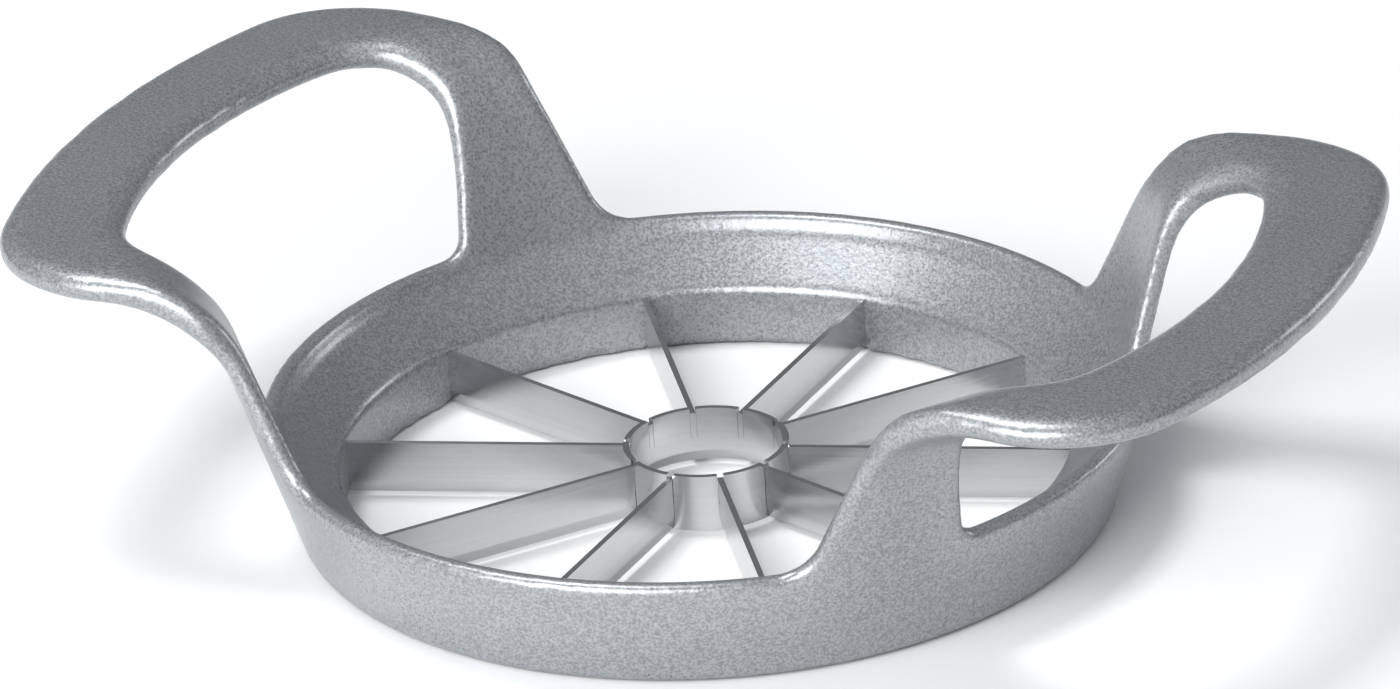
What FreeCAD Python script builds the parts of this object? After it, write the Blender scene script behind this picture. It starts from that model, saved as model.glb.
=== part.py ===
import FreeCAD, Part
import Sketcher
import math
import os

# Apple divider: one cast frame (conical ring with two loop grips), ten radial blades
# and a core ring. Millimetres, +Z up. The origin is the centre of the ring on the
# surface that the tool stands on, and the grips lie along X.

doc = FreeCAD.newDocument("apple_divider")

# Driving dimensions
sheet = doc.addObject("Spreadsheet::Sheet", "sizes")
sizes = [
    ("rim_radius", 60.0, "outside of the ring at its low rim"),
    ("rim_height", 16.1, "top of the low rim"),
    ("ring_taper", 5.0, "how much the ring draws in from the low rim to its underside"),
    ("standing_width", 5.9, "flat underside of the ring, out from the bore that the blades cross"),
    ("wall", 2.8, "wall of the ring's upper part and of the legs"),
    ("ledge_height", 8.2, "edge where the funnel meets the bore"),
    ("lip_depth", 2.0, "inner wall below the low rim before the funnel starts"),
    ("grip_top", 43.7, "upper face of the grips"),
    ("grip_thickness", 4.2, "plate of the grips"),
    ("bend_under", 15.0, "bend from leg to grip, outer side"),
    ("bend_top", 16.0, "bend from leg to grip, inner side"),
    ("grip_reach", 31.4, "low rim to the end of a grip, seen from above"),
    ("grip_overhang", 1.6, "how far a grip stands out sideways past its legs"),
    ("grip_end_radius", 114.0, "gentle curve of the grip's end"),
    ("grip_corner_radius", 19.0, "corners of the grip"),
    ("leg_spread", 0.78, "half the width across a pair of legs, as a share of the rim's radius"),
    ("window_spread", 0.6175, "gap between two legs at the rim, as a share of the width across them"),
    ("waist_radius", 100.0, "hollow curve from the legs out to the grip"),
    ("sweep_radius", 6.0, "sweep from the low rim up to a leg"),
    ("sweep_inset", 14.0, "in from the rim to where a leg's upright edge passes into the grip"),
    ("leg_edge_skew", 2.74, "turn of a leg's edge face past the direction of its foot, in degrees"),
    ("leg_edge_setback", 0.33, "how far the edge face lies inside the leg's outer side at the rim"),
    ("leg_edge_lean", 13.8, "further set-back of the edge face above the grip"),
    ("window_place", 0.8617, "where the window's width is measured, as a share of the rim's radius"),
    ("window_flare", 67.0, "angle of the window's sides from X, in degrees"),
    ("hole_side", 11.8, "in from a leg's outer side to the hand hole's long side"),
    ("grip_band", 15.6, "width of the bar that the hand holds"),
    ("hole_end_radius", 75.0, "gentle curve of the hole's far side"),
    ("hole_corner_radius", 9.5, "far corners of the hand hole"),
    ("hole_shoulder_radius", 6.0, "near corners of the hand hole"),
    ("edge_round", 1.2, "rounding along the rim, the legs, the grips and their openings"),
    ("window_corner_radius", 1.6, "lower corners of the windows"),
    ("foot_round", 0.8, "rounding where the ring stands"),
    ("blade_count", 10.0, "blades and wedges"),
    ("blade_thickness", 0.8, "blade stock"),
    ("blade_top", 7.9, "upper edge of the blades"),
    ("blade_foot", 0.6, "cutting edge above the underside"),
    ("bevel_height", 1.6, "height of the ground bevel"),
    ("edge_flat", 0.1, "width left at the cutting edge"),
    ("seat_depth", 3.2, "how far a blade's seat goes into the ring"),
    ("seat_clearance", 0.05, "gap around a blade in its seat and slot"),
    ("core_radius", 11.2, "outside of the core ring"),
    ("core_wall", 0.8, "wall of the core ring"),
    ("core_rise", 0.6, "core ring above the blades"),
    ("tab_height", 3.6, "tab at a blade's inner end that drops into the core ring"),
]
for row, (alias, number, note) in enumerate(sizes, start=1):
    sheet.set("A%d" % row, note)
    sheet.set("B%d" % row, str(number))
    sheet.setAlias("B%d" % row, alias)
doc.recompute()


def size(alias):
    return float(getattr(sheet, alias))


def value(expression):
    result = sheet.evalExpression(str(expression))
    return float(getattr(result, "Value", result))


# Sizes that follow from the driving ones
core_inside = "(sizes.core_radius - sizes.core_wall)"
core_top = "(sizes.blade_top + sizes.core_rise)"
bevel_top = "(sizes.blade_foot + sizes.bevel_height)"
tab_foot = "(sizes.blade_top - sizes.tab_height)"
foot_radius = "(sizes.rim_radius - sizes.ring_taper)"
bore_radius = "(sizes.rim_radius - sizes.ring_taper - sizes.standing_width)"
bore_inside = "(sizes.rim_radius - sizes.ring_taper - sizes.standing_width - sizes.wall)"
grip_under = "(sizes.grip_top - sizes.grip_thickness)"
half_length = "(sizes.rim_radius + sizes.grip_reach)"
leg_half_width = "(sizes.rim_radius * sizes.leg_spread)"
leg_edge_turn = "(asin(sizes.leg_spread) + sizes.leg_edge_skew * 1 deg)"
leg_edge_foot = "(sizes.rim_radius * sin(sizes.leg_edge_skew * 1 deg) + sizes.leg_edge_setback)"
leg_edge_head = "(%s + sizes.leg_edge_lean)" % leg_edge_foot
grip_half_width = "(sizes.rim_radius * sizes.leg_spread + sizes.grip_overhang)"
sweep_station = "(sizes.rim_radius - sizes.sweep_inset)"
window_station = "(sizes.rim_radius * sizes.window_place)"
window_half_width = "(sizes.rim_radius * sizes.leg_spread * sizes.window_spread)"
hole_half_width = "(sizes.rim_radius * sizes.leg_spread - sizes.hole_side)"
hole_end = "(sizes.rim_radius + sizes.grip_reach - sizes.grip_band)"
# clear of the whole part
beyond = "(sizes.rim_radius + sizes.grip_reach + 2 * sizes.grip_corner_radius)"
above = "(sizes.grip_top + sizes.grip_thickness)"


# Sketch helpers
def plane_of(body, role):
    return next(f for f in body.Origin.OriginFeatures if f.Role == role)


def new_sketch(body, name, role):
    sketch = body.newObject("Sketcher::SketchObject", name)
    sketch.AttachmentSupport = [(plane_of(body, role), "")]
    sketch.MapMode = "FlatFace"
    return sketch


def line(sketch, start, end):
    return sketch.addGeometry(Part.LineSegment(FreeCAD.Vector(*start, 0), FreeCAD.Vector(*end, 0)))


def arc(sketch, centre, radius, first, last):
    # counter-clockwise from the angle first to the angle last, in radians
    circle = Part.Circle(FreeCAD.Vector(*centre, 0), FreeCAD.Vector(0, 0, 1), radius)
    return sketch.addGeometry(Part.ArcOfCircle(circle, first, last))


def bind(sketch, constraint, expression):
    index = sketch.addConstraint(constraint)
    sketch.setExpression("Constraints[%d]" % index, expression)


def fix(sketch, geometry, end, across=None, up=None):
    # puts one end of a piece of geometry at expressions across and up from the origin
    point = sketch.getPoint(geometry, end)
    if across == 0:
        sketch.addConstraint(Sketcher.Constraint("PointOnObject", geometry, end, -2))
    elif across:
        bind(sketch, Sketcher.Constraint("DistanceX", -1, 1, geometry, end, point.x), across)
    if up == 0:
        sketch.addConstraint(Sketcher.Constraint("PointOnObject", geometry, end, -1))
    elif up:
        bind(sketch, Sketcher.Constraint("DistanceY", -1, 1, geometry, end, point.y), up)


def meet(sketch, kind, *ends):
    # each pair of (geometry, end) is joined, square or smooth
    for first, second in zip(ends[::2], ends[1::2]):
        sketch.addConstraint(Sketcher.Constraint(kind, *first, *second))


def radius_of(sketch, geometry, alias):
    bind(sketch, Sketcher.Constraint("Radius", geometry, size(alias)), "sizes." + alias)


START, END, CENTRE = range(1, 4)


# Frame: the ring's section is turned with a flange, which is then cut to two grips
def draw_section(sketch):
    rise = math.atan2(size("rim_radius") - value(foot_radius), size("rim_height"))
    along = (math.sin(rise), math.cos(rise))
    outward = (math.cos(rise), -math.sin(rise))
    reach, under = value(beyond), value(grip_under)
    wall_across = size("wall") / math.cos(rise)
    quarter = math.tan((math.pi / 2 - rise) / 2)

    def bend(foot, level, radius):
        # arc between a cone line that starts at foot and a flat face at this level
        corner = foot + level * math.tan(rise)
        low = (corner - radius * quarter * along[0], level - radius * quarter * along[1])
        centre = (low[0] + radius * outward[0], low[1] + radius * outward[1])
        return low, (centre[0], level), centre

    foot = value(foot_radius)
    low_under, high_under, centre_under = bend(foot, under, size("bend_under"))
    low_top, high_top, centre_top = bend(foot - wall_across, size("grip_top"), size("bend_top"))
    lip_level = size("rim_height") - size("lip_depth")
    lip = (foot - wall_across + lip_level * math.tan(rise), lip_level)
    ledge = (value(bore_radius), size("ledge_height"))

    outer = line(sketch, (foot, 0), low_under)
    arc_under = arc(sketch, centre_under, size("bend_under"), math.pi / 2, math.pi - rise)
    flat_under = line(sketch, high_under, (reach, under))
    end = line(sketch, (reach, under), (reach, size("grip_top")))
    flat_top = line(sketch, (reach, size("grip_top")), high_top)
    arc_top = arc(sketch, centre_top, size("bend_top"), math.pi / 2, math.pi - rise)
    inner = line(sketch, low_top, lip)
    funnel = line(sketch, lip, ledge)
    bore = line(sketch, ledge, (ledge[0], 0))
    underside = line(sketch, (ledge[0], 0), (foot, 0))
    rim = sketch.addGeometry(Part.Point(FreeCAD.Vector(size("rim_radius"), size("rim_height"), 0)), True)

    meet(sketch, "Tangent", (outer, END), (arc_under, END), (arc_under, START), (flat_under, START),
         (flat_top, END), (arc_top, START), (arc_top, END), (inner, START))
    meet(sketch, "Coincident", (flat_under, END), (end, START), (end, END), (flat_top, START),
         (inner, END), (funnel, START), (funnel, END), (bore, START), (bore, END), (underside, START),
         (underside, END), (outer, START))
    for flat in (flat_under, flat_top, underside):
        sketch.addConstraint(Sketcher.Constraint("Horizontal", flat))
    for upright in (end, bore):
        sketch.addConstraint(Sketcher.Constraint("Vertical", upright))
    fix(sketch, outer, START, foot_radius, 0)
    fix(sketch, rim, START, "sizes.rim_radius", "sizes.rim_height")
    sketch.addConstraint(Sketcher.Constraint("PointOnObject", rim, START, outer))
    radius_of(sketch, arc_under, "bend_under")
    radius_of(sketch, arc_top, "bend_top")
    fix(sketch, end, START, beyond, grip_under)
    fix(sketch, end, END, None, "sizes.grip_top")
    sketch.addConstraint(Sketcher.Constraint("Parallel", inner, outer))
    bind(sketch, Sketcher.Constraint("Distance", inner, END, outer, size("wall")), "sizes.wall")
    fix(sketch, inner, END, None, "sizes.rim_height - sizes.lip_depth")
    fix(sketch, bore, START, bore_radius, "sizes.ledge_height")


def draw_sweep(sketch):
    # what is cut away above the low rim between the grips, seen along X
    leg, rim, radius = value(leg_half_width), size("rim_height"), size("sweep_radius")
    edge, top = value(beyond), value(above)
    sweep = arc(sketch, (leg + radius, rim + radius), radius, math.pi, 3 * math.pi / 2)
    floor = line(sketch, (leg + radius, rim), (edge, rim))
    far = line(sketch, (edge, rim), (edge, top))
    lid = line(sketch, (edge, top), (leg, top))
    side = line(sketch, (leg, top), (leg, rim + radius))
    meet(sketch, "Tangent", (sweep, END), (floor, START), (side, END), (sweep, START))
    meet(sketch, "Coincident", (floor, END), (far, START), (far, END), (lid, START),
         (lid, END), (side, START))
    for flat in (floor, lid):
        sketch.addConstraint(Sketcher.Constraint("Horizontal", flat))
    for upright in (far, side):
        sketch.addConstraint(Sketcher.Constraint("Vertical", upright))
    radius_of(sketch, sweep, "sweep_radius")
    fix(sketch, side, START, leg_half_width, above)
    fix(sketch, far, START, beyond, "sizes.rim_height")


def draw_leg_edge(sketch):
    # trims a leg's edge square to the wall, seen along the wall's own radius
    foot, head = value(leg_edge_foot), value(leg_edge_head)
    rim, radius = size("rim_height"), size("sweep_radius")
    top, edge = value(above), 2 * size("grip_corner_radius")
    lean = math.atan2(head - foot, top - rim)
    # the arc touches the floor and the leaning side
    run = radius * math.tan((math.pi / 2 - lean) / 2)
    touch = (-foot - run * math.sin(lean), rim + run * math.cos(lean))
    centre = (-foot + run, rim + radius)
    sweep = arc(sketch, centre, radius, math.pi + lean, 3 * math.pi / 2)
    floor = line(sketch, (centre[0], rim), (edge, rim))
    far = line(sketch, (edge, rim), (edge, top))
    lid = line(sketch, (edge, top), (-head, top))
    side = line(sketch, (-head, top), touch)
    gauge = sketch.addGeometry(Part.Point(FreeCAD.Vector(-foot, rim, 0)), True)
    meet(sketch, "Tangent", (sweep, END), (floor, START), (side, END), (sweep, START))
    meet(sketch, "Coincident", (floor, END), (far, START), (far, END), (lid, START),
         (lid, END), (side, START))
    for flat in (floor, lid):
        sketch.addConstraint(Sketcher.Constraint("Horizontal", flat))
    sketch.addConstraint(Sketcher.Constraint("Vertical", far))
    radius_of(sketch, sweep, "sweep_radius")
    fix(sketch, far, START, "2 * sizes.grip_corner_radius", "sizes.rim_height")
    fix(sketch, far, END, None, above)
    bind(sketch, Sketcher.Constraint("DistanceX", side, START, -1, 1, head), leg_edge_head)
    bind(sketch, Sketcher.Constraint("DistanceX", gauge, START, -1, 1, foot), leg_edge_foot)
    bind(sketch, Sketcher.Constraint("DistanceY", -1, 1, gauge, START, rim), "sizes.rim_height")
    sketch.addConstraint(Sketcher.Constraint("PointOnObject", gauge, START, side))


def draw_outline(sketch):
    # a quarter of what lies outside the legs and the grips, seen from above
    leg, waist = value(leg_half_width), size("waist_radius")
    corner, end = size("grip_corner_radius"), size("grip_end_radius")
    tip = value(half_length)
    edge = value(beyond)
    end_x = tip - end
    corner_y = value(grip_half_width) - corner
    corner_x = end_x + math.sqrt((end - corner) ** 2 - corner_y ** 2)
    waist_y = leg + waist
    waist_x = corner_x - math.sqrt((waist + corner) ** 2 - (waist_y - corner_y) ** 2)
    turn = math.atan2(corner_y - waist_y, corner_x - waist_x)
    spread = math.atan2(corner_y, corner_x - end_x)

    station = value(sweep_station)
    side = line(sketch, (station, leg), (waist_x, leg))
    hollow = arc(sketch, (waist_x, waist_y), waist, -math.pi / 2, turn)
    shoulder = arc(sketch, (corner_x, corner_y), corner, spread, turn + math.pi)
    nose = arc(sketch, (end_x, 0), end, 0, spread)
    run = line(sketch, (tip, 0), (edge, 0))
    far = line(sketch, (edge, 0), (edge, edge))
    back = line(sketch, (edge, edge), (station, edge))
    close = line(sketch, (station, edge), (station, leg))

    meet(sketch, "Tangent", (side, END), (hollow, START), (hollow, END), (shoulder, END),
         (shoulder, START), (nose, END))
    meet(sketch, "Coincident", (nose, START), (run, START), (run, END), (far, START),
         (far, END), (back, START), (back, END), (close, START), (close, END), (side, START))
    for flat in (side, run, back):
        sketch.addConstraint(Sketcher.Constraint("Horizontal", flat))
    for upright in (far, close):
        sketch.addConstraint(Sketcher.Constraint("Vertical", upright))
    fix(sketch, side, START, sweep_station, leg_half_width)
    radius_of(sketch, hollow, "waist_radius")
    radius_of(sketch, shoulder, "grip_corner_radius")
    radius_of(sketch, nose, "grip_end_radius")
    fix(sketch, shoulder, CENTRE, None, grip_half_width + " - sizes.grip_corner_radius")
    fix(sketch, nose, CENTRE, None, 0)
    fix(sketch, nose, START, half_length, 0)
    fix(sketch, far, END, beyond, beyond)


def draw_hand_hole(sketch):
    # half of one window and hand hole, seen from above, from the open middle of the ring outwards
    flare = math.radians(size("window_flare"))
    station, gap = value(window_station), value(window_half_width)
    start_x = value(bore_inside)
    start_y = gap - (station - start_x) * math.tan(flare)
    wide = value(hole_half_width)
    near, far = size("hole_shoulder_radius"), size("hole_corner_radius")
    end, tip = size("hole_end_radius"), value(hole_end)
    end_x = tip - end
    far_x = end_x + math.sqrt((end - far) ** 2 - (wide - far) ** 2)
    spread = math.atan2(wide - far, far_x - end_x)
    # the near corner touches both the flared side and the widest line
    near_y = wide - near
    near_x = station + (near_y - gap) / math.tan(flare) + near / math.sin(flare)
    touch = (near_x - near * math.sin(flare), near_y + near * math.cos(flare))

    middle = line(sketch, (tip, 0), (start_x, 0))
    inner = line(sketch, (start_x, 0), (start_x, start_y))
    side = line(sketch, (start_x, start_y), touch)
    near_arc = arc(sketch, (near_x, near_y), near, math.pi / 2, math.pi / 2 + flare)
    long_side = line(sketch, (near_x, wide), (far_x, wide))
    far_arc = arc(sketch, (far_x, wide - far), far, spread, math.pi / 2)
    nose = arc(sketch, (end_x, 0), end, 0, spread)
    gauge = sketch.addGeometry(Part.Point(FreeCAD.Vector(station, gap, 0)), True)

    meet(sketch, "Coincident", (nose, START), (middle, START), (middle, END), (inner, START),
         (inner, END), (side, START))
    meet(sketch, "Tangent", (side, END), (near_arc, END), (near_arc, START), (long_side, START),
         (long_side, END), (far_arc, END), (far_arc, START), (nose, END))
    sketch.addConstraint(Sketcher.Constraint("Horizontal", long_side))
    sketch.addConstraint(Sketcher.Constraint("Vertical", inner))
    fix(sketch, nose, START, hole_end, 0)
    fix(sketch, nose, CENTRE, None, 0)
    fix(sketch, middle, END, bore_inside, 0)
    fix(sketch, gauge, START, window_station, window_half_width)
    sketch.addConstraint(Sketcher.Constraint("PointOnObject", gauge, START, side))
    bind(sketch, Sketcher.Constraint("Angle", side, flare), "sizes.window_flare * 1 deg")
    fix(sketch, long_side, END, None, hole_half_width)
    radius_of(sketch, nose, "hole_end_radius")
    radius_of(sketch, far_arc, "hole_corner_radius")
    radius_of(sketch, near_arc, "hole_shoulder_radius")


def cut_upwards(body, name, draw):
    # a pocket that starts on the plane of the low rim and goes up through everything
    sketch = new_sketch(body, name + "_sketch", "XY_Plane")
    draw(sketch)
    sketch.setExpression("AttachmentOffset.Base.z", "sizes.rim_height")
    pocket = body.newObject("PartDesign::Pocket", name)
    pocket.Profile = sketch
    pocket.Type = "ThroughAll"
    pocket.Reversed = True
    return pocket


def mirror_about(body, feature, *roles):
    # copies a feature to the other side of each plane in turn
    multi = body.newObject("PartDesign::MultiTransform", feature.Name + "_mirrored")
    multi.Originals = [feature]
    steps = []
    for role in roles:
        step = doc.addObject("PartDesign::Mirrored", feature.Name + "_" + role[:2].lower())
        step.MirrorPlane = (plane_of(body, role), [""])
        steps.append(step)
    multi.Transformations = steps
    body.Tip = multi
    doc.recompute()
    return multi


def is_sharp(shape, edge):
    # true where the two faces beside an edge meet at an angle
    faces = shape.ancestorsOfType(edge, Part.Face)
    if len(faces) < 2:
        return False
    middle = edge.valueAt((edge.FirstParameter + edge.LastParameter) / 2)
    normals = [face.normalAt(*face.Surface.parameter(middle)) for face in faces[:2]]
    turn = normals[0].getAngle(normals[1])
    return min(turn, math.pi - turn) > 0.12


def round_edges(body, name, base, test, alias):
    # rounds each edge of the feature before it that passes the test
    shape = base.Shape
    chosen = ["Edge%d" % (i + 1) for i, edge in enumerate(shape.Edges) if test(shape, edge)]
    fillet = body.newObject("PartDesign::Fillet", name)
    fillet.Base = (base, chosen)
    fillet.setExpression("Radius", "sizes." + alias)
    body.Tip = fillet
    doc.recompute()
    return fillet


def around(body, feature):
    # repeats a feature at each blade
    pattern = body.newObject("PartDesign::PolarPattern", feature.Name + "_around")
    pattern.Originals = [feature]
    pattern.Axis = (plane_of(body, "Z_Axis"), [""])
    pattern.Angle = 360
    pattern.setExpression("Occurrences", "sizes.blade_count")
    body.Tip = pattern
    doc.recompute()
    return pattern


def draw_box(sketch, left, right, low, high):
    # upright rectangle between expressions, to the right of the origin and not below it
    x0, x1, y0, y1 = value(left), value(right), value(low), value(high)
    corners = [(x0, y0), (x1, y0), (x1, y1), (x0, y1)]
    sides = [line(sketch, a, b) for a, b in zip(corners, corners[1:] + corners[:1])]
    for index, side in enumerate(sides):
        meet(sketch, "Coincident", (side, END), (sides[(index + 1) % 4], START))
        sketch.addConstraint(Sketcher.Constraint("Vertical" if index % 2 else "Horizontal", side))
    fix(sketch, sides[0], START, left, low)
    fix(sketch, sides[2], START, right, high)


def slab(body, kind, name, width, *box):
    # a pad or pocket of this width about the YZ plane, with a rectangle as its side view
    sketch = new_sketch(body, name + "_sketch", "YZ_Plane")
    draw_box(sketch, *box)
    feature = body.newObject("PartDesign::" + kind, name)
    feature.Profile = sketch
    feature.Midplane = True
    feature.setExpression("Length", width)
    body.Tip = feature
    doc.recompute()
    return feature


def turn_section(body, sketch, name):
    revolution = body.newObject("PartDesign::Revolution", name)
    revolution.Profile = sketch
    revolution.ReferenceAxis = (sketch, ["V_Axis"])
    revolution.Angle = 360
    body.Tip = revolution
    doc.recompute()
    return revolution


def at_rim_level(edge):
    return all(abs(vertex.Z - size("rim_height")) < 0.001 for vertex in edge.Vertexes)


def is_window_corner(shape, edge):
    # short straight edge where a leg's inner side meets the low rim
    straight = edge.Curve.TypeId == "Part::GeomLine" and len(edge.Vertexes) == 2
    middle_of_leg = (value(leg_half_width) + value(window_half_width)) / 2
    inner = max(abs(vertex.Y) for vertex in edge.Vertexes) < middle_of_leg
    return straight and inner and at_rim_level(edge) and is_sharp(shape, edge)


def is_upper_edge(shape, edge):
    return edge.BoundBox.ZMin > size("rim_height") - 0.01 and is_sharp(shape, edge)


def is_foot_edge(shape, edge):
    low = edge.BoundBox.ZMax < 0.01
    return low and math.hypot(edge.Vertexes[0].X, edge.Vertexes[0].Y) > value(foot_radius) - 0.01


def make_frame():
    body = doc.addObject("PartDesign::Body", "frame")
    section = new_sketch(body, "ring_section", "XZ_Plane")
    draw_section(section)
    turn_section(body, section, "turned")

    sweep = new_sketch(body, "rim_cut_sketch", "YZ_Plane")
    draw_sweep(sweep)
    rim_cut = body.newObject("PartDesign::Pocket", "rim_cut")
    rim_cut.Profile = sweep
    rim_cut.Midplane = True
    rim_cut.setExpression("Length", "2 * " + sweep_station)
    mirror_about(body, rim_cut, "XZ_Plane")
    mirror_about(body, cut_upwards(body, "grip_outline", draw_outline), "XZ_Plane", "YZ_Plane")

    edge_sketch = new_sketch(body, "leg_edge_sketch", "YZ_Plane")
    edge_sketch.AttachmentOffset = FreeCAD.Placement(
        FreeCAD.Vector(), FreeCAD.Rotation(FreeCAD.Vector(0, 1, 0), value(leg_edge_turn)))
    draw_leg_edge(edge_sketch)
    edge_sketch.setExpression("AttachmentOffset.Rotation.Angle", leg_edge_turn)
    leg_edge = body.newObject("PartDesign::Pocket", "leg_edge")
    leg_edge.Profile = edge_sketch
    leg_edge.Reversed = True
    leg_edge.setExpression("Length", half_length)
    mirror_about(body, leg_edge, "XZ_Plane", "YZ_Plane")

    openings = mirror_about(body, cut_upwards(body, "hand_hole", draw_hand_hole), "XZ_Plane", "YZ_Plane")
    corners = round_edges(body, "window_corners", openings, is_window_corner, "window_corner_radius")
    edges = round_edges(body, "rounded_edges", corners, is_upper_edge, "edge_round")
    round_edges(body, "rounded_foot", edges, is_foot_edge, "foot_round")

    seat = slab(body, "Pocket", "blade_seat", "sizes.blade_thickness + 2 * sizes.seat_clearance",
                bore_inside, bore_radius + " + sizes.seat_depth",
                0, "sizes.blade_top")
    around(body, seat)
    return body


# Blades: thin stock with a ground lower edge and a tab that drops into the core ring
def draw_blade_section(sketch):
    half, flat = size("blade_thickness") / 2, size("edge_flat") / 2
    foot, ground, top = size("blade_foot"), value(bevel_top), size("blade_top")
    corners = [(flat, foot), (half, ground), (half, top), (-half, top), (-half, ground), (-flat, foot)]
    sides = [line(sketch, a, b) for a, b in zip(corners, corners[1:] + corners[:1])]
    for index, side in enumerate(sides):
        meet(sketch, "Coincident", (side, END), (sides[(index + 1) % 6], START))
    for one, other in ((0, 5), (1, 4), (2, 3)):
        sketch.addConstraint(Sketcher.Constraint("Symmetric", sides[one], START, sides[other], START, -2))
    fix(sketch, sides[0], START, "sizes.edge_flat / 2", "sizes.blade_foot")
    fix(sketch, sides[1], START, "sizes.blade_thickness / 2", bevel_top)
    fix(sketch, sides[2], START, "sizes.blade_thickness / 2", "sizes.blade_top")


def make_blade(number, turn):
    # drawn along Y, where the first seat is, then turned about the ring's axis
    name = "blade_%02d" % number
    body = doc.addObject("PartDesign::Body", name)
    section = new_sketch(body, name + "_section", "XZ_Plane")
    draw_blade_section(section)
    section.setExpression("AttachmentOffset.Base.z", "-(sizes.core_radius + sizes.seat_clearance)")
    strip = body.newObject("PartDesign::Pad", name + "_strip")
    strip.Profile = section
    strip.Reversed = True
    strip.setExpression("Length", bore_radius + " + sizes.seat_depth - sizes.core_radius"
                                                " - 2 * sizes.seat_clearance")
    body.Tip = strip
    doc.recompute()
    slab(body, "Pad", name + "_tab", "sizes.blade_thickness",
         core_inside, "sizes.core_radius + sizes.blade_thickness", tab_foot, "sizes.blade_top")
    body.Placement = FreeCAD.Placement(FreeCAD.Vector(), FreeCAD.Rotation(FreeCAD.Vector(0, 0, 1), turn))
    return body


# Core ring: a tube with a slot for each blade's tab, sharpened from the inside
def draw_core_section(sketch):
    outer, inner, edge = size("core_radius"), value(core_inside), size("core_radius") - size("edge_flat")
    foot, ground, top = size("blade_foot"), value(bevel_top), value(core_top)
    corners = [(edge, foot), (outer, foot), (outer, top), (inner, top), (inner, ground)]
    sides = [line(sketch, a, b) for a, b in zip(corners, corners[1:] + corners[:1])]
    for index, side in enumerate(sides):
        meet(sketch, "Coincident", (side, END), (sides[(index + 1) % 5], START))
    fix(sketch, sides[0], START, "sizes.core_radius - sizes.edge_flat", "sizes.blade_foot")
    fix(sketch, sides[1], START, "sizes.core_radius", "sizes.blade_foot")
    fix(sketch, sides[2], START, "sizes.core_radius", core_top)
    fix(sketch, sides[3], START, core_inside, core_top)
    fix(sketch, sides[4], START, core_inside, bevel_top)


def make_core_ring():
    body = doc.addObject("PartDesign::Body", "core_ring")
    section = new_sketch(body, "core_section", "XZ_Plane")
    draw_core_section(section)
    turn_section(body, section, "core_tube")
    slot = slab(body, "Pocket", "core_slot", "sizes.blade_thickness + 2 * sizes.seat_clearance",
                core_inside + " - sizes.core_wall", "sizes.core_radius + sizes.core_wall",
                tab_foot, core_top + " + sizes.core_rise")
    around(body, slot)
    return body


blades = int(round(size("blade_count")))
parts = [make_frame()]
parts += [make_blade(number + 1, 360.0 / blades * number) for number in range(blades)]
parts.append(make_core_ring())
doc.recompute()

for item in doc.Objects:
    if "Invalid" in item.State or "Error" in item.State:
        raise RuntimeError("%s did not compute: %s" % (item.Name, item.State))
for part in parts:
    part.Label = part.Name
    if part.Shape.isNull() or not part.Shape.isValid() or len(part.Shape.Solids) != 1:
        raise RuntimeError(part.Name + " isn't one valid solid")

os.makedirs("parts", exist_ok=True)
for part in parts:
    part.Shape.exportStep("parts/%s.step" % part.Name)
    box = part.Shape.BoundBox
    print("%-10s %8.1f mm3  x %.2f %.2f  y %.2f %.2f  z %.2f %.2f" % (
        part.Name, part.Shape.Volume, box.XMin, box.XMax, box.YMin, box.YMax, box.ZMin, box.ZMax))
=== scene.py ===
import math

import bmesh
import bpy
import numpy as np
from mathutils import Matrix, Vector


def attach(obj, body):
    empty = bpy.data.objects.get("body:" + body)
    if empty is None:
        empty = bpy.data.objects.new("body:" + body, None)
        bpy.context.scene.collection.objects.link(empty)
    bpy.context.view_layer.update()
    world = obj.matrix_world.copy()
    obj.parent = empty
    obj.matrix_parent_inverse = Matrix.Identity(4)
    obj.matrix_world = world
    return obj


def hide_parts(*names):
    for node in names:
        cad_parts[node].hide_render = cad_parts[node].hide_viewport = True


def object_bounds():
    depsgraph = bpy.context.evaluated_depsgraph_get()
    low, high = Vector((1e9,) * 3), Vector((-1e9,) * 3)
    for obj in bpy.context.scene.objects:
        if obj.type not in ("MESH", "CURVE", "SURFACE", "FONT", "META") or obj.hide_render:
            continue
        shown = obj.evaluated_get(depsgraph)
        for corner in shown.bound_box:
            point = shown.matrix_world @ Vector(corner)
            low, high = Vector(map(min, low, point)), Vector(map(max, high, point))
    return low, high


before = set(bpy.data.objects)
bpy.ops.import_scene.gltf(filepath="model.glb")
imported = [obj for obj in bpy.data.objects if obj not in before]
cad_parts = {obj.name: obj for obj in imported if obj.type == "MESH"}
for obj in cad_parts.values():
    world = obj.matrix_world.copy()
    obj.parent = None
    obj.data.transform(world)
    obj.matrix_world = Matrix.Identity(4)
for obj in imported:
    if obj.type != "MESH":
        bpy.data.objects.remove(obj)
cadBox = [list(corner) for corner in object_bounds()]
print("frame loaded:", len(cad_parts), "nodes")


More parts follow.
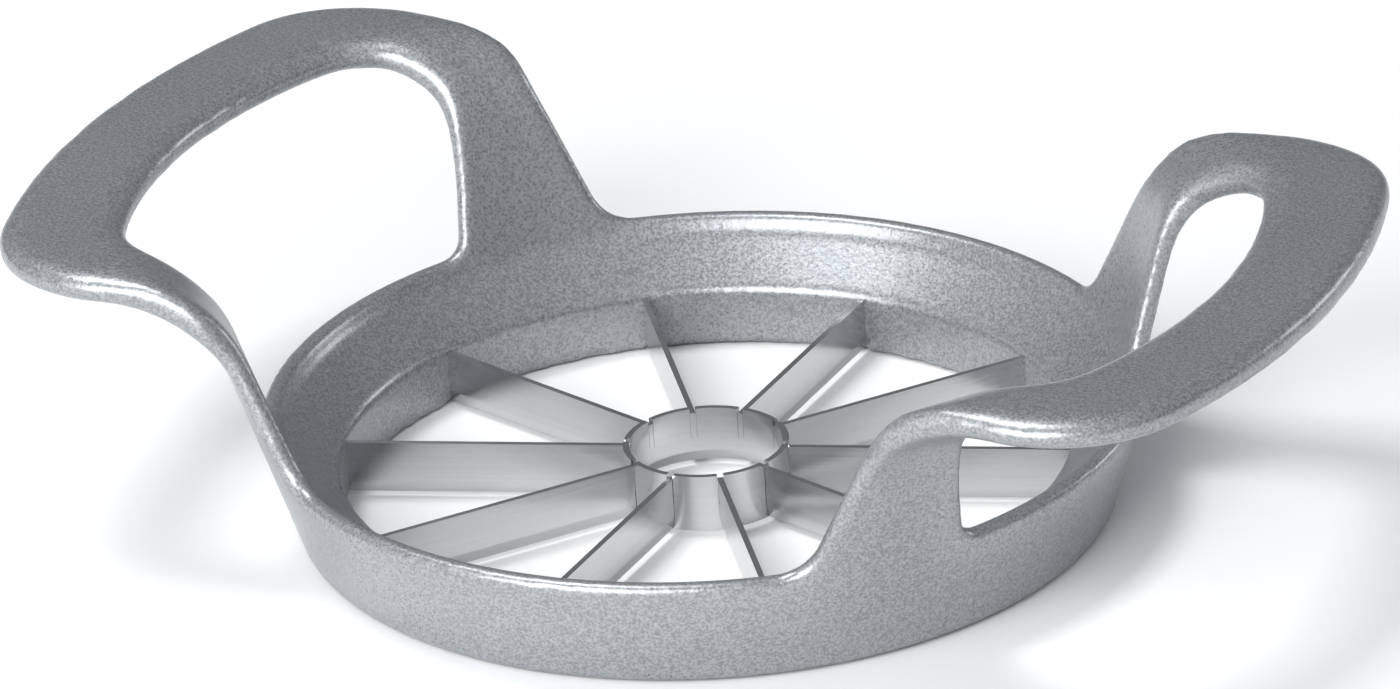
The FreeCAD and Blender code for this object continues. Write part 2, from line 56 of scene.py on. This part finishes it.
# Shader maths: a socket that can be added, subtracted and multiplied like a number
class Wire:
    def __init__(self, tree, socket):
        self.tree = tree
        self.socket = socket

    def node(self, kind, settings=None, **inputs):
        return addNode(self.tree, kind, settings, **inputs)

    def maths(self, operation, other, swap=False):
        first, second = (other, self) if swap else (self, other)
        node = self.node("ShaderNodeMath", {"operation": operation}, **{"0": first, "1": second})
        return Wire(self.tree, node.outputs[0])

    def __add__(self, other):
        return self.maths("ADD", other)

    def __radd__(self, other):
        return self.maths("ADD", other, swap=True)

    def __sub__(self, other):
        return self.maths("SUBTRACT", other)

    def __rsub__(self, other):
        return self.maths("SUBTRACT", other, swap=True)

    def __mul__(self, other):
        return self.maths("MULTIPLY", other)

    def __rmul__(self, other):
        return self.maths("MULTIPLY", other, swap=True)

    def smoothStep(self, low, high):
        # 0 below low, 1 above high, with a soft shoulder at each end
        node = self.node("ShaderNodeMapRange", {"interpolation_type": "SMOOTHSTEP"},
                         **{"Value": self, "From Min": low, "From Max": high})
        return Wire(self.tree, node.outputs["Result"])


def addNode(tree, kind, settings=None, **inputs):
    # one node: its settings first, then the values or wires of its sockets, by number or name
    node = tree.nodes.new(kind)
    for name, setting in (settings or {}).items():
        setattr(node, name, setting)
    for name, value in inputs.items():
        feed(node, int(name) if name.isdigit() else name, value)
    return node


def feed(node, name, value):
    # links a wire to a socket, or sets the socket to a plain value
    if isinstance(value, Wire):
        value.tree.links.new(value.socket, node.inputs[name])
    else:
        node.inputs[name].default_value = value


def newMaterial(name):
    # an empty material with its shader, and the place on the object that patterns are read from
    material = bpy.data.materials.new(name)
    material.use_nodes = True
    tree = material.node_tree
    tree.nodes.clear()
    shader = addNode(tree, "ShaderNodeBsdfPrincipled")
    addNode(tree, "ShaderNodeOutputMaterial", Surface=Wire(tree, shader.outputs[0]))
    place = Wire(tree, addNode(tree, "ShaderNodeTexCoord").outputs["Object"])
    return material, shader, place


def mixColours(factor, first, second):
    # blends two colours: factor 0 gives the first
    node = factor.node("ShaderNodeMix", {"data_type": "RGBA"}, **{"0": factor, "6": first, "7": second})
    return Wire(factor.tree, node.outputs[2])


def noise(place, scale, detail=2.0, roughness=0.5):
    # cloudy values from 0 to 1, mostly near one half
    node = place.node("ShaderNodeTexNoise", **{"Vector": place, "Scale": scale, "Detail": detail,
                                               "Roughness": roughness})
    return Wire(place.tree, node.outputs["Fac"])


def bump(height, strength, distance, **below):
    # tilts the surface by the slope of height; a bump given as Normal lies under this one
    node = height.node("ShaderNodeBump", Height=height, Strength=strength, Distance=distance, **below)
    return Wire(height.tree, node.outputs[0])


# Casting: aluminium under a satin silver coating with fine metal flakes
casting = {
    "dark": (0.21, 0.225, 0.235, 1.0),
    "light": (0.43, 0.445, 0.46, 1.0),
    "metal": 0.6,
    "roughness": 0.33,
    "coat": 0.08,
    "coatRoughness": 0.14,
    "flakeScale": 2700.0,      # noise per metre: flakes, pebbled skin and slow drift
    "pebbleScale": 1300.0,
    "driftScale": 38.0,
    "flakeEdges": (0.32, 0.68),
    "pebbleEdges": (0.3, 0.7),
    "flakeShare": 0.62,        # of the way from dark to light
    "pebbleShare": 0.26,
    "driftShare": 0.12,
    "flakeDulling": 0.10,      # change of roughness
    "driftDulling": 0.08,
    "pebbleStrength": 0.55,
    "pebbleDepth": 0.00007,
    "driftStrength": 0.35,
    "driftDepth": 0.0004,
}


def castingMaterial():
    # the colour goes from dark to light by a weighted sum of flakes, pebbles and drift
    material, shader, place = newMaterial("castSilverCoat")
    flake = noise(place, casting["flakeScale"], detail=1.0, roughness=0.6)
    flake = flake.smoothStep(*casting["flakeEdges"])
    pebble = noise(place, casting["pebbleScale"], detail=3.0, roughness=0.6)
    drift = noise(place, casting["driftScale"])
    tone = (flake * casting["flakeShare"]
            + pebble.smoothStep(*casting["pebbleEdges"]) * casting["pebbleShare"]
            + drift * casting["driftShare"])
    feed(shader, "Base Color", mixColours(tone, casting["dark"], casting["light"]))
    feed(shader, "Metallic", casting["metal"])
    feed(shader, "Roughness", casting["roughness"] + (flake - 0.5) * casting["flakeDulling"]
         + (drift - 0.5) * casting["driftDulling"])
    feed(shader, "Coat Weight", casting["coat"])
    feed(shader, "Coat Roughness", casting["coatRoughness"])
    softWaves = bump(drift, casting["driftStrength"], casting["driftDepth"])
    skin = bump(pebble, casting["pebbleStrength"], casting["pebbleDepth"], Normal=softWaves)
    feed(shader, "Normal", skin)
    return material


# Blades and core: stainless strip, ground along its length
steel = {
    "dull": (0.46, 0.465, 0.47, 1.0),
    "bright": (0.66, 0.665, 0.67, 1.0),
    "roughness": 0.2,
    "grindStretch": (40.0, 40.0, 2400.0),      # per metre: fine lines, stacked in height
    "smudgeScale": 90.0,
    "lineShare": 0.6,          # of the way from dull to bright
    "smudgeShare": 0.4,
    "lineDulling": 0.08,       # change of roughness
    "smudgeDulling": 0.12,
    "lineStrength": 0.25,
    "lineDepth": 0.00002,
}


def steelMaterial():
    # the colour goes from dull to bright by a weighted sum of grinding lines and smudges
    material, shader, place = newMaterial("groundStainless")
    stretched = place.node("ShaderNodeMapping", Vector=place, Scale=steel["grindStretch"])
    lines = noise(Wire(place.tree, stretched.outputs[0]), 1.0, roughness=0.6)
    smudge = noise(place, steel["smudgeScale"])
    tone = lines * steel["lineShare"] + smudge * steel["smudgeShare"]
    feed(shader, "Base Color", mixColours(tone, steel["dull"], steel["bright"]))
    feed(shader, "Metallic", 1.0)
    feed(shader, "Roughness", steel["roughness"] + (smudge - 0.5) * steel["smudgeDulling"]
         + (lines - 0.5) * steel["lineDulling"])
    feed(shader, "Normal", bump(lines, steel["lineStrength"], steel["lineDepth"]))
    return material


def dress(name, material):
    # gives a node of the frame its material
    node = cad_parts[name]
    node.data.materials.clear()
    node.data.materials.append(material)


# Soft casting: the frame's solid with its edges and creases worn round, as a sand or die casting has them
softCasting = {
    "merge": 0.000002,         # points of the solid this close are one point
    "grain": 0.000625,         # size of the surface's cells
    "softening": 0.5,          # how far each pass moves a point
    "passes": 4,
    "gripPasses": 18,          # the grips are worn rounder still
    "gripFrom": 0.031,
    "gripFull": 0.040,
    "neckPasses": 40,          # where a grip turns down into its legs: fuller and nearly round
    "neckSwell": 0.0005,
    "neckPlace": 0.068,
    "neckReach": 0.016,
    "plugCount": 10,           # filled seats, one at each blade
    "plugTurn": 90.0,          # where the first is, in degrees from +X
    "plugStart": 0.0493,       # from the ring's axis
    "plugEnd": 0.0527,
    "plugWidth": 0.0011,
    "plugFoot": 0.0010,        # a shallow groove stays open at the underside
    "plugTop": 0.0078,
}


def readRows(items, field, width, kind=float):
    # one field of a mesh's points or edges, a row for each
    values = np.empty(len(items) * width, dtype=kind)
    items.foreach_get(field, values)
    return values.reshape(-1, width)


def movePoints(mesh, points):
    # puts the mesh's points at new places, a row for each
    mesh.vertices.foreach_set("co", points.ravel())
    mesh.update()


def seatPlugs():
    # upright bars in the ring: the corners of one bar along +X, turned about the ring's axis
    half = softCasting["plugWidth"] / 2
    corners = np.array([(x, y, z) for x in (softCasting["plugStart"], softCasting["plugEnd"])
                        for y in (-half, half) for z in (softCasting["plugFoot"], softCasting["plugTop"])])
    faces = np.array([(0, 1, 3, 2), (4, 6, 7, 5), (0, 4, 5, 1), (2, 3, 7, 6), (0, 2, 6, 4), (1, 5, 7, 3)])
    count = softCasting["plugCount"]
    turns = np.radians(softCasting["plugTurn"] + 360 / count * np.arange(count))[:, None]
    x = corners[:, 0] * np.cos(turns) - corners[:, 1] * np.sin(turns)
    y = corners[:, 0] * np.sin(turns) + corners[:, 1] * np.cos(turns)
    points = np.stack([x, y, np.broadcast_to(corners[:, 2], x.shape)], axis=-1).reshape(-1, 3)
    return points, (faces[None] + len(corners) * np.arange(count)[:, None, None]).reshape(-1, 4)


def pluggedShell():
    # a merged copy of the frame's solid and the plugs that reach into it, not yet joined
    shell = bmesh.new()
    shell.from_mesh(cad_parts["frame"].data)
    bmesh.ops.remove_doubles(shell, verts=shell.verts, dist=softCasting["merge"])
    merged = bpy.data.meshes.new("mergedShell")
    shell.to_mesh(merged)
    shell.free()
    shellPoints = readRows(merged.vertices, "co", 3)
    shellFaces = [tuple(face.vertices) for face in merged.polygons]
    bpy.data.meshes.remove(merged)
    plugPoints, plugFaces = seatPlugs()
    whole = bpy.data.meshes.new("frameCasting")
    whole.from_pydata(np.vstack([shellPoints, plugPoints]).tolist(), [],
                      shellFaces + (plugFaces + len(shellPoints)).tolist())
    return whole


def rebuildInCells(piece):
    # one closed skin of even cells round everything in the piece
    cells = piece.modifiers.new("cells", "REMESH")
    cells.mode = "VOXEL"
    cells.voxel_size = softCasting["grain"]
    cells.use_smooth_shade = True
    skin = bpy.data.meshes.new_from_object(piece.evaluated_get(bpy.context.evaluated_depsgraph_get()))
    piece.modifiers.clear()
    piece.data = skin
    return skin


def softened(points, edges, share, passes):
    # each pass moves every point its share of the way to the middle of its neighbours
    first, second = edges.T
    neighbours = np.bincount(edges.ravel(), minlength=len(points))[:, None]
    for step in range(passes):
        total = np.stack([np.bincount(first, points[second, axis], len(points))
                          + np.bincount(second, points[first, axis], len(points))
                          for axis in range(3)], axis=1)
        points = points + share[:, None] * (total / neighbours - points)
    return points


def wearRound(skin):
    # evenly softened, more so with height on the grips, and at their necks pushed outwards by a bell
    # curve of the distance from the neck and softened again; nothing leaves the solid's box
    points = readRows(skin.vertices, "co", 3)
    edges = readRows(skin.edges, "vertices", 2, int)
    share = softCasting["softening"]
    points = softened(points, edges, np.full(len(points), share), softCasting["passes"])
    climb = (points[:, 2] - softCasting["gripFrom"]) / (softCasting["gripFull"] - softCasting["gripFrom"])
    climb = np.clip(climb, 0, 1)
    points = softened(points, edges, share * climb, softCasting["gripPasses"])
    away = np.abs(np.abs(points[:, 0]) - softCasting["neckPlace"]) / softCasting["neckReach"]
    neck = climb * (1 - np.clip(away, 0, 1) ** 2) ** 2
    movePoints(skin, points)
    outwards = readRows(skin.vertices, "normal", 3)
    outwards[:, 2] = np.minimum(outwards[:, 2], 0)     # sideways and down, so the tops stay flat
    points = points + softCasting["neckSwell"] * neck[:, None] * outwards
    points = softened(points, edges, share * neck, softCasting["neckPasses"])
    movePoints(skin, np.clip(points, *cadBox))


def makeCasting(material):
    # the piece that stands for the frame
    piece = bpy.data.objects.new("frameCasting", pluggedShell())
    bpy.context.scene.collection.objects.link(piece)
    skin = rebuildInCells(piece)
    wearRound(skin)
    skin.materials.clear()
    skin.materials.append(material)
    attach(piece, "root")
    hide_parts("frame")
    print("casting:", len(skin.polygons), "faces")


silver = castingMaterial()
stainless = steelMaterial()
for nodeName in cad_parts:
    if nodeName == "frame":
        dress(nodeName, silver)
    else:
        dress(nodeName, stainless)
makeCasting(silver)
print("materials done")


# Studio: a pale floor that fills the view, brighter surroundings in front than behind
studio = {
    "floorSize": 4.0,
    "floorDrop": 0.0002,       # below the object's foot
    "floorColour": (0.95, 0.95, 0.95, 1.0),
    "floorRoughness": 0.9,
    "worldColour": (0.93, 0.96, 1.0, 1.0),
    "worldBack": 0.22,
    "worldFront": 0.62,
    "frontwards": (-0.1, -0.85, 0.5),
    "turnFrom": -0.2,          # from the back's strength to the front's
    "turnTo": 0.8,
    "lampAim": (0.0, 0.0, 0.02),
}

# Soft square lamps, all turned to that one point
lamps = {
    "topLamp": {"place": (-0.47, 0.02, 1.4), "width": 0.45, "power": 8.0},
    "keyLamp": {"place": (-0.12, -1.03, 0.55), "width": 0.9, "power": 15.0},
    "edgeLamp": {"place": (0.69, 1.04, 0.36), "width": 0.3, "power": 1.4},
}


def makeFloor():
    # one flat square, centred just under the object
    half = studio["floorSize"] / 2
    mesh = bpy.data.meshes.new("floor")
    mesh.from_pydata([(-half, -half, 0), (half, -half, 0), (half, half, 0), (-half, half, 0)], [],
                     [(0, 1, 2, 3)])
    floor = bpy.data.objects.new("floor", mesh)
    bpy.context.scene.collection.objects.link(floor)
    floor.location.z = cadBox[0][2] - studio["floorDrop"]
    material, shader, place = newMaterial("paleFloor")
    feed(shader, "Base Color", studio["floorColour"])
    feed(shader, "Roughness", studio["floorRoughness"])
    mesh.materials.append(material)


def makeWorld():
    # the strength rises smoothly with the part of a direction that points to the front
    world = bpy.data.worlds.new("studioWorld")
    world.use_nodes = True
    tree = world.node_tree
    tree.nodes.clear()
    around = Wire(tree, addNode(tree, "ShaderNodeTexCoord").outputs["Generated"])
    product = around.node("ShaderNodeVectorMath", {"operation": "DOT_PRODUCT"},
                          **{"0": around, "1": studio["frontwards"]})
    ahead = Wire(tree, product.outputs["Value"]).smoothStep(studio["turnFrom"], studio["turnTo"])
    strength = ahead * (studio["worldFront"] - studio["worldBack"]) + studio["worldBack"]
    light = addNode(tree, "ShaderNodeBackground", Color=studio["worldColour"], Strength=strength)
    addNode(tree, "ShaderNodeOutputWorld", Surface=Wire(tree, light.outputs[0]))
    bpy.context.scene.world = world


def makeLamp(name, place, width, power):
    # the lamp's back points away from the aim, its right side is level, its upper side follows
    lamp = bpy.data.lights.new(name, "AREA")
    lamp.shape = "SQUARE"
    lamp.size = width
    lamp.energy = power
    back = np.array(place) - np.array(studio["lampAim"])
    back /= np.linalg.norm(back)
    right = np.cross((0.0, 0.0, 1.0), back)
    right /= np.linalg.norm(right)
    turned = Matrix(np.column_stack([right, np.cross(back, right), back]).tolist()).to_4x4()
    turned.translation = place
    rig = bpy.data.objects.new(name, lamp)
    bpy.context.scene.collection.objects.link(rig)
    rig.matrix_world = turned


# Camera: a long lens aimed near the ring's axis, a little tilted and rolled
shot = {
    "azimuth": 27.45,          # degrees from the front towards +X
    "elevation": 25.71,
    "tilt": 0.84,
    "roll": -3.53,
    "distance": 1.41139,
    "focalPixels": 10480.0,    # focal length in pixels of the picture's width
    "imageWidth": 1400.0,
    "sensor": 36.0,
    "nearest": 0.05,
}


def makeCamera():
    # looks at the origin from a point on a sphere round it, then tilts about its own right side
    # and rolls about its line of sight; the rows of each matrix are the camera's right, up and back
    around, above = math.radians(shot["azimuth"]), math.radians(shot["elevation"])
    tilt, roll = math.radians(shot["tilt"]), math.radians(shot["roll"])
    back = np.array([math.sin(around) * math.cos(above), -math.cos(around) * math.cos(above),
                     math.sin(above)])
    right = np.array([math.cos(around), math.sin(around), 0.0])
    level = np.stack([right, np.cross(back, right), back])
    tilted = np.array([[1, 0, 0], [0, math.cos(tilt), math.sin(tilt)], [0, -math.sin(tilt), math.cos(tilt)]])
    rolled = np.array([[math.cos(roll), math.sin(roll), 0], [-math.sin(roll), math.cos(roll), 0], [0, 0, 1]])
    placed = Matrix((rolled @ tilted @ level).T.tolist()).to_4x4()
    placed.translation = back * shot["distance"]
    camera = bpy.data.cameras.new("camera")
    camera.sensor_width = shot["sensor"]
    camera.lens = shot["sensor"] * shot["focalPixels"] / shot["imageWidth"]
    camera.clip_start = shot["nearest"]
    rig = bpy.data.objects.new("camera", camera)
    bpy.context.scene.collection.objects.link(rig)
    rig.matrix_world = placed
    bpy.context.scene.camera = rig


makeFloor()
makeWorld()
for lampName, lampValues in lamps.items():
    makeLamp(lampName, **lampValues)
makeCamera()
bpy.context.scene.view_settings.view_transform = "Standard"
print("studio done")
